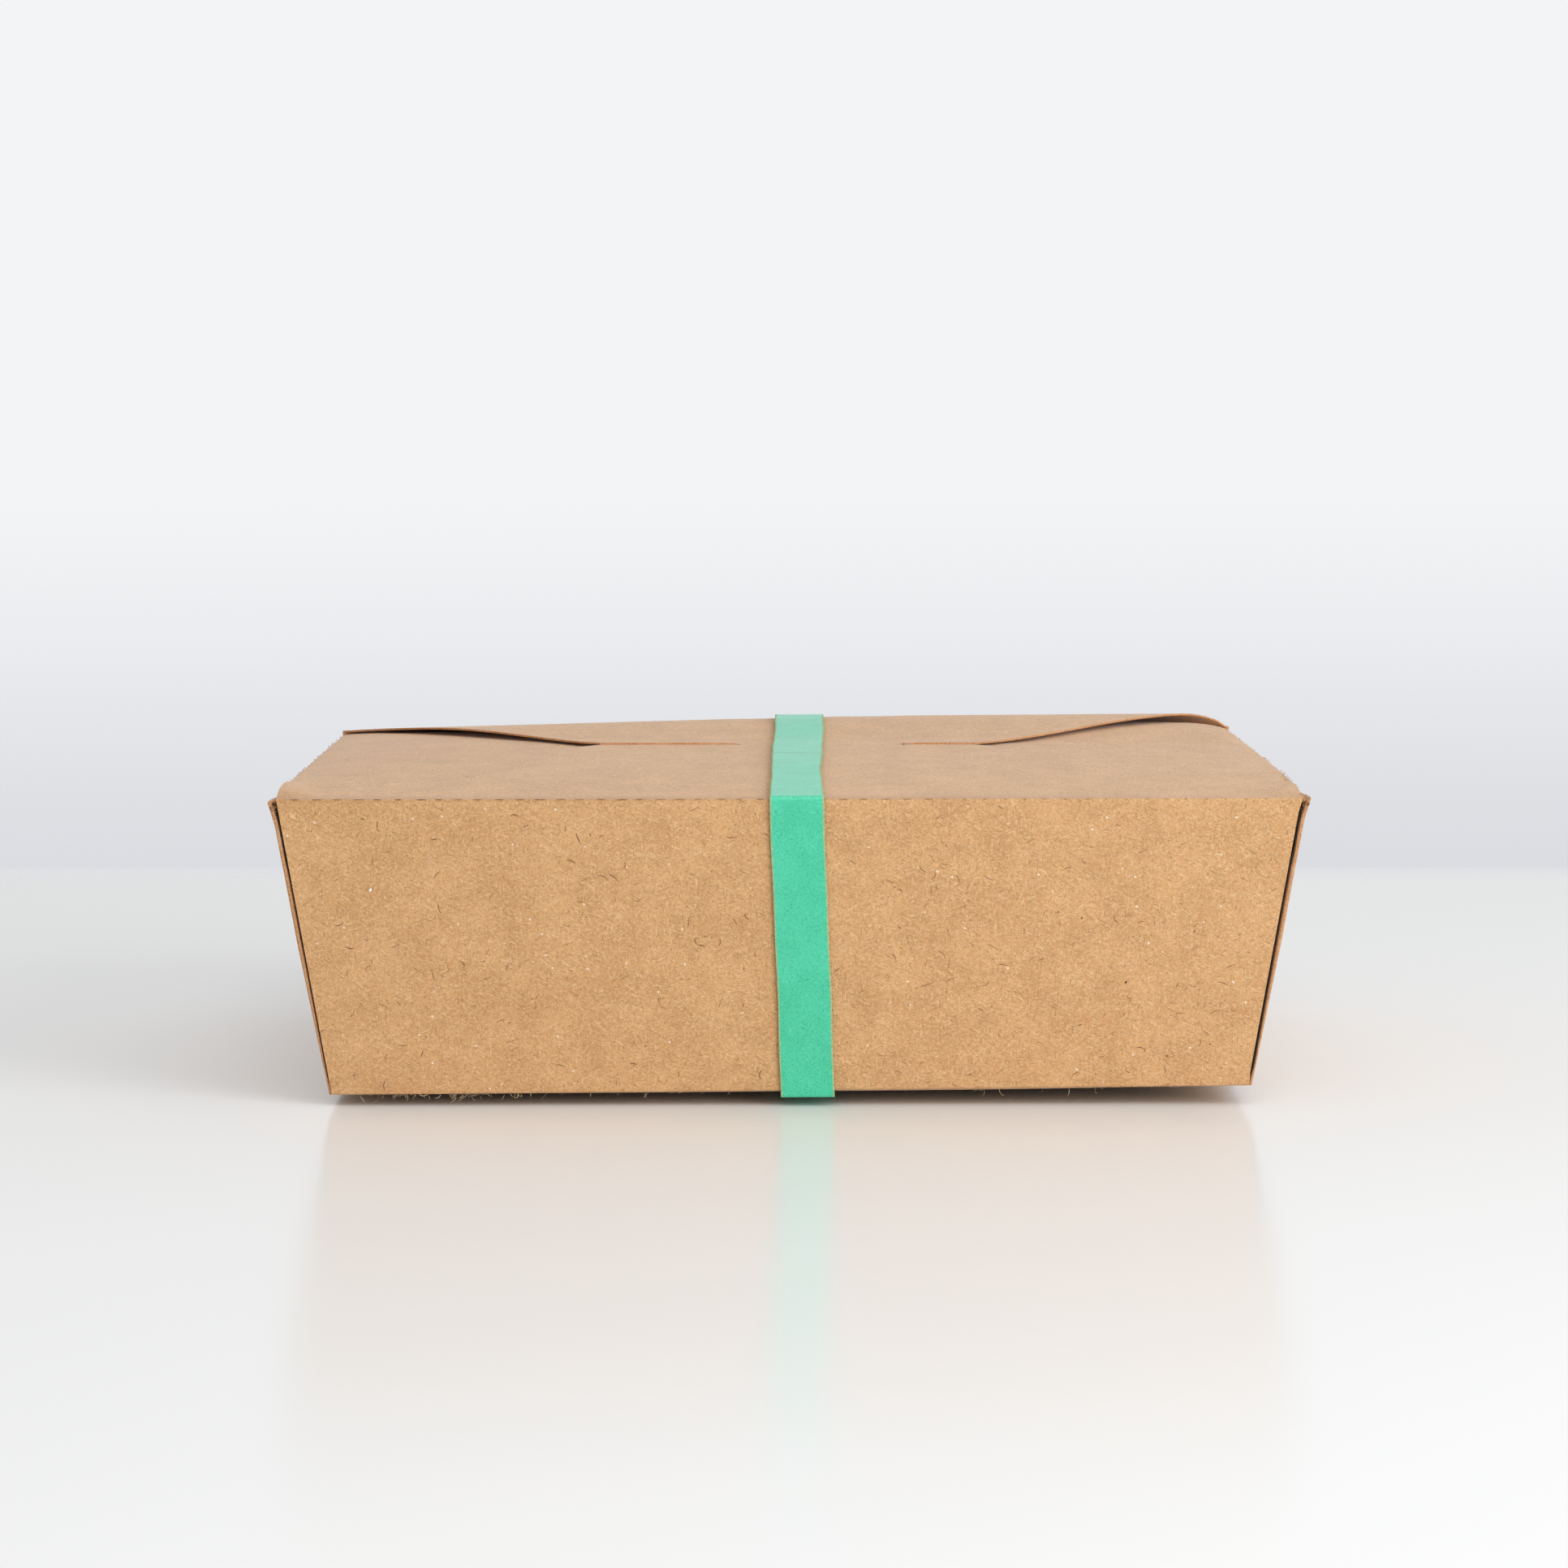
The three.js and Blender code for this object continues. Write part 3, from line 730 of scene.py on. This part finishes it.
# Colours, in pairs where a noise blends from one to the other
KRAFT_TONES = ((0.54, 0.284, 0.11, 1), (0.65, 0.362, 0.153, 1))
KRAFT_LIGHT = (0.78, 0.475, 0.23, 1)
KRAFT_SHADE = (0.42, 0.21, 0.078, 1)
# painted shade for the front flap's top just behind its fold
KRAFT_FOLD_SHADE = (0.36, 0.18, 0.068, 1)
PALE_FELT = (0.86, 0.58, 0.32, 1)
DULL_FELT = (0.37, 0.175, 0.062, 1)
DARK_FELT = (0.17, 0.07, 0.024, 1)
WHITE_SPECK = (0.92, 0.78, 0.62, 1)
BLACK_SPECK = (0.1, 0.05, 0.025, 1)
CUT_EDGE_TONES = ((0.38, 0.165, 0.064, 1), (0.62, 0.33, 0.152, 1))
CUT_EDGE_PATCH = (0.6, 0.36, 0.19, 1)
INK_TONES = ((0.042, 0.505, 0.292, 1), (0.06, 0.565, 0.342, 1))
INK_LIGHT = (0.13, 0.66, 0.43, 1)
INK_SHADE = (0.02, 0.36, 0.22, 1)
INK_FLECK = (0.015, 0.2, 0.13, 1)
# painted shade along the step where the band's upper layer ends
INK_SEAM_SHADE = (0.015, 0.15, 0.1, 1)
INK_CRACKED = (0.45, 0.8, 0.64, 1)
BAND_EDGE_TONES = ((0.16, 0.36, 0.17, 1), (0.46, 0.52, 0.27, 1))
# painted shade of the open perforation slits in the front fold
FOLD_CUT_SHADE_TONES = ((0.1, 0.04, 0.015, 1), (0.24, 0.1, 0.04, 1))
FRAYED_TONES = ((0.2, 0.085, 0.03, 1), (0.44, 0.23, 0.1, 1))
HAIR_TONES = ((0.3, 0.2, 0.1, 1), (0.62, 0.5, 0.32, 1))
PALE_FLECK_TONES = ((0.75, 0.66, 0.55, 1), (0.95, 0.9, 0.82, 1))
DARK_FLECK_TONES = ((0.03, 0.018, 0.01, 1), (0.09, 0.05, 0.03, 1))
DARK_FIBRE_TONES = ((0.1, 0.04, 0.013, 1), (0.3, 0.135, 0.05, 1))


class Shader:
    """One material's nodes, with short calls. Lengths are millimetres of the object's own space."""

    def __init__(self, name):
        self.material = bpy.data.materials.new(name)
        self.material.use_nodes = True
        tree = self.material.node_tree
        tree.nodes.clear()
        self.nodes = tree.nodes
        self.links = tree.links
        self.surface = self.nodes.new("ShaderNodeBsdfPrincipled")
        output = self.nodes.new("ShaderNodeOutputMaterial")
        self.links.new(self.surface.outputs["BSDF"], output.inputs["Surface"])
        coordinates = self.nodes.new("ShaderNodeTexCoord")
        scaled = self.nodes.new("ShaderNodeVectorMath")
        scaled.operation = "SCALE"
        scaled.inputs["Scale"].default_value = 1 / MM
        self.links.new(coordinates.outputs["Object"], scaled.inputs[0])
        self.place = scaled.outputs["Vector"]

    def put(self, socket, value):
        if isinstance(value, bpy.types.NodeSocket):
            self.links.new(value, socket)
        else:
            socket.default_value = value

    def set(self, **values):
        for key, value in values.items():
            self.put(self.surface.inputs[key.replace("_", " ")], value)

    def math(self, operation, first, second=0.0):
        node = self.nodes.new("ShaderNodeMath")
        node.operation = operation
        self.put(node.inputs[0], first)
        self.put(node.inputs[1], second)
        return node.outputs[0]

    def ramp(self, value, low, high, start=0.0, end=1.0):
        node = self.nodes.new("ShaderNodeMapRange")
        node.interpolation_type = "SMOOTHSTEP"
        for socket, item in zip(node.inputs, (value, low, high, start, end)):
            self.put(socket, item)
        return node.outputs[0]

    def mix(self, factor, first, second):
        node = self.nodes.new("ShaderNodeMix")
        node.data_type = "RGBA"
        self.put(node.inputs[0], factor)
        self.put(node.inputs[6], first)
        self.put(node.inputs[7], second)
        return node.outputs[2]

    def noise(self, size, shift, detail=2.0, roughness=0.5):
        node = self.nodes.new("ShaderNodeTexNoise")
        node.noise_dimensions = "4D"
        self.links.new(self.place, node.inputs["Vector"])
        values = {"W": shift, "Scale": 1 / size, "Detail": detail, "Roughness": roughness}
        for key, value in values.items():
            node.inputs[key].default_value = value
        return node.outputs["Fac"]

    def streaks(self, axis, angle, width, length, shift):
        """A noise drawn out along one direction, turned by an angle about an axis."""
        turned = self.nodes.new("ShaderNodeVectorRotate")
        turned.rotation_type = axis
        turned.inputs["Angle"].default_value = math.radians(angle)
        self.links.new(self.place, turned.inputs["Vector"])
        drawn = self.nodes.new("ShaderNodeVectorMath")
        drawn.operation = "MULTIPLY"
        drawn.inputs[1].default_value = (1 / length, 1 / width, 1 / width)
        self.links.new(turned.outputs["Vector"], drawn.inputs[0])
        node = self.nodes.new("ShaderNodeTexNoise")
        node.noise_dimensions = "4D"
        self.links.new(drawn.outputs["Vector"], node.inputs["Vector"])
        for key, value in {"W": shift, "Scale": 1.0, "Detail": 0.0, "Distortion": 0.5}.items():
            node.inputs[key].default_value = value
        return node.outputs["Fac"]

    def felt(self, width, length, shift):
        """Highest and lowest of the noises drawn out along all the fibre directions."""
        highest = 0.0
        lowest = 1.0
        for i, (axis, angle) in enumerate(FIBRE_DIRECTIONS):
            value = self.streaks(axis, angle, width, length, shift + 7.0 * i)
            highest = self.math("MAXIMUM", value, highest)
            lowest = self.math("MINIMUM", value, lowest)
        return highest, lowest

    def specks(self, spacing, radius, share, shift):
        """1 on small spots, in that share of the cells."""
        node = self.nodes.new("ShaderNodeTexVoronoi")
        moved = self.nodes.new("ShaderNodeVectorMath")
        moved.inputs[1].default_value = (shift, shift, shift)
        self.links.new(self.place, moved.inputs[0])
        self.links.new(moved.outputs["Vector"], node.inputs["Vector"])
        node.inputs["Scale"].default_value = 1 / spacing
        spot = self.ramp(node.outputs["Distance"], radius / spacing, 0.5 * radius / spacing)
        chosen = self.nodes.new("ShaderNodeSeparateColor")
        self.links.new(node.outputs["Color"], chosen.inputs[0])
        return self.math("MULTIPLY", spot, self.math("LESS_THAN", chosen.outputs[0], share))

    def cracks(self, spacing, width):
        """1 on the cracked ink of the band, on top between its front bend and the seam."""
        node = self.nodes.new("ShaderNodeTexVoronoi")
        node.feature = "DISTANCE_TO_EDGE"
        self.links.new(self.place, node.inputs["Vector"])
        node.inputs["Scale"].default_value = 1 / spacing
        axes = self.axes()
        bent = self.ramp(axes["Z"], FRONT_FOLD - CRACKED_TOP, FRONT_FOLD)
        worn = self.ramp(axes["Y"], SEAM_Y, SEAM_Y - CRACKED_REACH)
        patchy = self.ramp(self.noise(4.0, 15.0, 2.0), 0.42, 0.6)
        where = self.math("MULTIPLY", patchy, self.math("MULTIPLY", bent, worn))
        line = self.ramp(node.outputs["Distance"], width / spacing, 0.0)
        return self.math("MULTIPLY", line, where)

    def seam(self):
        """1 along the end of the band's upper layer, where a line of shade is painted at its step."""
        axes = self.axes()
        off = self.math("ABSOLUTE", self.math("SUBTRACT", axes["Y"], SEAM_Y - SEAM_SHADE_MIDDLE))
        return self.math("MULTIPLY", self.ramp(off, *SEAM_SHADE_REACH), self.ramp(axes["Z"], *SEAM_SHADE_ABOVE))

    def axes(self):
        node = self.nodes.new("ShaderNodeSeparateXYZ")
        self.links.new(self.place, node.inputs[0])
        return node.outputs

    def bump(self, height, depth, strength):
        node = self.nodes.new("ShaderNodeBump")
        node.inputs["Strength"].default_value = strength
        node.inputs["Distance"].default_value = depth * MM
        self.links.new(height, node.inputs["Height"])
        self.links.new(node.outputs["Normal"], self.surface.inputs["Normal"])


def kraft_material():
    shader = Shader("kraft_board")
    cloudy = shader.noise(9.0, 0.0, 3.0, 0.6)
    felted = shader.noise(0.6, 3.0, 3.0, 0.65)
    high, low = shader.felt(0.34, 2.3, 1.0)
    long_high, long_low = shader.felt(0.3, 4.5, 60.0)
    pale = shader.math("MAXIMUM", shader.ramp(high, 0.66, 0.8), shader.ramp(long_high, 0.72, 0.8))
    dull = shader.ramp(low, 0.34, 0.2)
    dark = shader.ramp(long_low, 0.235, 0.17)
    colour = shader.mix(shader.ramp(cloudy, 0.3, 0.7), *KRAFT_TONES)
    colour = shader.mix(shader.ramp(felted, 0.47, 0.68, 0.0, 0.6), colour, KRAFT_LIGHT)
    colour = shader.mix(shader.ramp(felted, 0.5, 0.32, 0.0, 0.48), colour, KRAFT_SHADE)
    colour = shader.mix(shader.math("MULTIPLY", pale, 0.45), colour, PALE_FELT)
    colour = shader.mix(shader.math("MULTIPLY", dull, 0.36), colour, DULL_FELT)
    colour = shader.mix(shader.math("MULTIPLY", dark, 0.6), colour, DARK_FELT)
    axes = shader.axes()
    # Painted shade: the front flap's top is darkened just behind its fold (the mask named pressed)
    near_fold = shader.ramp(axes["Y"], FOLD_SHADE_REACH[0] - HALF_MOUTH_Y, FOLD_SHADE_REACH[1] - HALF_MOUTH_Y)
    on_top = shader.ramp(axes["Z"], FRONT_FOLD - FOLD_SHADE_TOP, FRONT_FOLD)
    pressed = shader.math("MULTIPLY", near_fold, on_top)
    colour = shader.mix(shader.math("MULTIPLY", pressed, 0.3), colour, KRAFT_FOLD_SHADE)
    white = shader.specks(3.0, 0.34, 0.3, 2.0)
    black = shader.specks(6.0, 0.36, 0.12, 4.0)
    colour = shader.mix(shader.math("MULTIPLY", white, 0.75), colour, WHITE_SPECK)
    colour = shader.mix(shader.math("MULTIPLY", black, 0.75), colour, BLACK_SPECK)
    height = shader.math("ADD", felted, shader.math("MULTIPLY", pale, 0.5))
    height = shader.math("SUBTRACT", height, shader.math("MULTIPLY", dull, 0.3))
    shader.set(Base_Color=colour, Roughness=shader.ramp(felted, 0.3, 0.7, 0.6, 0.72), Sheen_Weight=0.3)
    shader.set(Sheen_Roughness=0.35)
    shader.bump(height, 0.14, 0.85)
    return shader.material


def cut_edge_material():
    shader = Shader("cut_edge")
    fibre = shader.noise(0.5, 2.0, 3.0, 0.65)
    patches = shader.noise(4.0, 6.0, 2.0)
    colour = shader.mix(shader.ramp(fibre, 0.3, 0.7), *CUT_EDGE_TONES)
    colour = shader.mix(shader.ramp(patches, 0.5, 0.75, 0.0, 0.5), colour, CUT_EDGE_PATCH)
    shader.set(Base_Color=colour, Roughness=0.85)
    shader.bump(fibre, 0.15, 0.8)
    return shader.material


def fibre_material(name, tones):
    shader = Shader(name)
    colour = shader.mix(shader.ramp(shader.noise(1.2, 5.0, 2.0), 0.35, 0.65), *tones)
    shader.set(Base_Color=colour, Roughness=0.8)
    return shader.material


def band_material():
    shader = Shader("band_print")
    cloudy = shader.noise(6.0, 1.0, 3.0)
    fine = shader.noise(0.45, 4.0, 3.0, 0.65)
    colour = shader.mix(shader.ramp(cloudy, 0.3, 0.7), *INK_TONES)
    colour = shader.mix(shader.ramp(fine, 0.47, 0.7, 0.0, 0.6), colour, INK_LIGHT)
    colour = shader.mix(shader.ramp(fine, 0.47, 0.3, 0.0, 0.55), colour, INK_SHADE)
    flecks = shader.specks(1.1, 0.22, 0.3, 3.0)
    colour = shader.mix(shader.math("MULTIPLY", flecks, 0.7), colour, INK_FLECK)
    cracks = shader.cracks(1.5, 0.06)
    # painted shade line along the step at the seam
    colour = shader.mix(shader.math("MULTIPLY", shader.seam(), 0.8), colour, INK_SEAM_SHADE)
    colour = shader.mix(shader.math("MULTIPLY", cracks, 0.45), colour, INK_CRACKED)
    height = shader.math("SUBTRACT", fine, shader.math("MULTIPLY", cracks, 0.8))
    shader.set(Base_Color=colour, Roughness=shader.ramp(fine, 0.3, 0.7, 0.26, 0.38), Sheen_Weight=0.04)
    shader.bump(height, 0.05, 0.7)
    return shader.material


def band_edge_material():
    shader = Shader("band_edge")
    fibre = shader.noise(0.4, 8.0, 3.0, 0.6)
    colour = shader.mix(shader.ramp(fibre, 0.3, 0.7), *BAND_EDGE_TONES)
    shader.set(Base_Color=colour, Roughness=0.8)
    shader.bump(fibre, 0.05, 0.5)
    return shader.material


# Stage, light and camera

FLOOR_HALF = 900.0
FLOOR_DROP = 0.45              # below the resting face at the middle of the box
FLOOR_TILT = math.radians(0.266)    # the box leans a little on its sagged bottom
FLOOR_BACK = (322.0, 372.0)    # the floor fades out between these distances from the middle
FLOOR_SIDE = (450.0, 850.0)
FLOOR_FRONT = (600.0, 880.0)
FLOOR_COLOUR = (0.83, 0.832, 0.82, 1)
AMBIENT = 0.65                 # share of the backdrop's light that reaches matt surfaces
HORIZON_GLOW = (-0.13, -0.03)  # heights on the unit sphere between which the backdrop grows bright
BACKDROP_LOW = (0.7, 0.71, 0.745, 1)
BACKDROP_HIGH = (0.9, 0.905, 0.922, 1)

# Lights, in metres and watts
KEY_LIGHT = {"place": (0.95, -0.85, 0.45), "aim": (0.0, 0.0, 0.04), "size": 0.9, "power": 10.8}
FRONT_LIGHT = {"place": (0.15, -0.95, 1.15), "aim": (0.0, -0.1, 0.0), "size": 1.0, "power": 4.9}


def make_floor():
    shader = Shader("pale_floor")
    axes = shader.axes()
    side = shader.ramp(shader.math("ABSOLUTE", axes["X"]), *FLOOR_SIDE, 1.0, 0.0)
    back = shader.ramp(axes["Y"], *FLOOR_BACK, 1.0, 0.0)
    front = shader.ramp(shader.math("MULTIPLY", axes["Y"], -1.0), *FLOOR_FRONT, 1.0, 0.0)
    shown = shader.math("MULTIPLY", side, shader.math("MULTIPLY", back, front))
    shader.set(Base_Color=FLOOR_COLOUR, Roughness=0.2, Specular_IOR_Level=0.07, Alpha=shown)
    mesh = bpy.data.meshes.new("floor")
    half = FLOOR_HALF * MM
    fall = half * math.tan(FLOOR_TILT)
    left = fall - FLOOR_DROP * MM
    right = -fall - FLOOR_DROP * MM
    corners = [(-half, -half, left), (half, -half, right), (half, half, right), (-half, half, left)]
    mesh.from_pydata(corners, [], [(0, 1, 2, 3)])
    mesh.materials.append(shader.material)
    floor = bpy.data.objects.new("floor", mesh)
    bpy.context.scene.collection.objects.link(floor)


def make_world():
    world = bpy.data.worlds.new("studio")
    world.use_nodes = True
    nodes = world.node_tree.nodes
    links = world.node_tree.links
    direction = nodes.new("ShaderNodeTexCoord")
    axes = nodes.new("ShaderNodeSeparateXYZ")
    glow = nodes.new("ShaderNodeMapRange")
    glow.interpolation_type = "SMOOTHSTEP"
    glow.inputs["From Min"].default_value = HORIZON_GLOW[0]
    glow.inputs["From Max"].default_value = HORIZON_GLOW[1]
    mixed = nodes.new("ShaderNodeMix")
    mixed.data_type = "RGBA"
    mixed.inputs[6].default_value = BACKDROP_LOW
    mixed.inputs[7].default_value = BACKDROP_HIGH
    path = nodes.new("ShaderNodeLightPath")
    strength = nodes.new("ShaderNodeMapRange")
    strength.inputs["To Min"].default_value = 1.0
    strength.inputs["To Max"].default_value = AMBIENT
    links.new(path.outputs["Is Diffuse Ray"], strength.inputs["Value"])
    links.new(strength.outputs[0], nodes["Background"].inputs["Strength"])
    links.new(direction.outputs["Generated"], axes.inputs[0])
    links.new(axes.outputs["Z"], glow.inputs["Value"])
    links.new(glow.outputs[0], mixed.inputs[0])
    links.new(mixed.outputs[2], nodes["Background"].inputs["Color"])
    bpy.context.scene.world = world


def make_light(name, place, aim, size, power):
    data = bpy.data.lights.new(name, "AREA")
    data.shape = "DISK"
    data.size = size
    data.energy = power
    light = bpy.data.objects.new(name, data)
    light.location = place
    light.rotation_mode = "QUATERNION"
    light.rotation_quaternion = (Vector(aim) - Vector(place)).to_track_quat("-Z", "Y")
    bpy.context.scene.collection.objects.link(light)


def make_camera():
    data = bpy.data.cameras.new("camera")
    data.lens = LENS
    data.sensor_width = SENSOR
    data.clip_start = 0.05
    data.clip_end = 20.0
    camera = bpy.data.objects.new("camera", data)
    flat = math.cos(CAMERA_PITCH)
    away_x = math.sin(CAMERA_AZIMUTH) * flat
    away_y = -math.cos(CAMERA_AZIMUTH) * flat
    away = Vector((away_x, away_y, math.sin(CAMERA_PITCH)))
    place = Vector(CAMERA_TARGET) + away * CAMERA_DISTANCE
    turn = (-away).to_track_quat("-Z", "Y").to_matrix() @ Matrix.Rotation(CAMERA_ROLL, 3, "Z")
    camera.matrix_world = Matrix.Translation(place * MM) @ turn.to_4x4()
    bpy.context.scene.collection.objects.link(camera)
    bpy.context.scene.camera = camera


board = [kraft_material(), cut_edge_material()]
paper = [band_material(), band_edge_material()]
make_blank(board)
make_end(-1, "end_left", board)
make_end(1, "end_right", board)
make_band(paper)
make_perforation(fibre_material("perforation_shade", FOLD_CUT_SHADE_TONES))
make_fuzz(fibre_material("frayed_board", FRAYED_TONES))
make_hairs(fibre_material("pale_hair", HAIR_TONES))
make_flecks("pale_flecks", PALE_FLECKS, fibre_material("pale_fleck", PALE_FLECK_TONES))
make_flecks("dark_flecks", DARK_FLECKS, fibre_material("dark_fleck", DARK_FLECK_TONES))
make_surface_fibres(fibre_material("dark_fibre", DARK_FIBRE_TONES))
make_floor()
make_world()
make_light("key", **KEY_LIGHT)
make_light("front", **FRONT_LIGHT)
make_camera()
bpy.context.scene.view_settings.view_transform = "Standard"
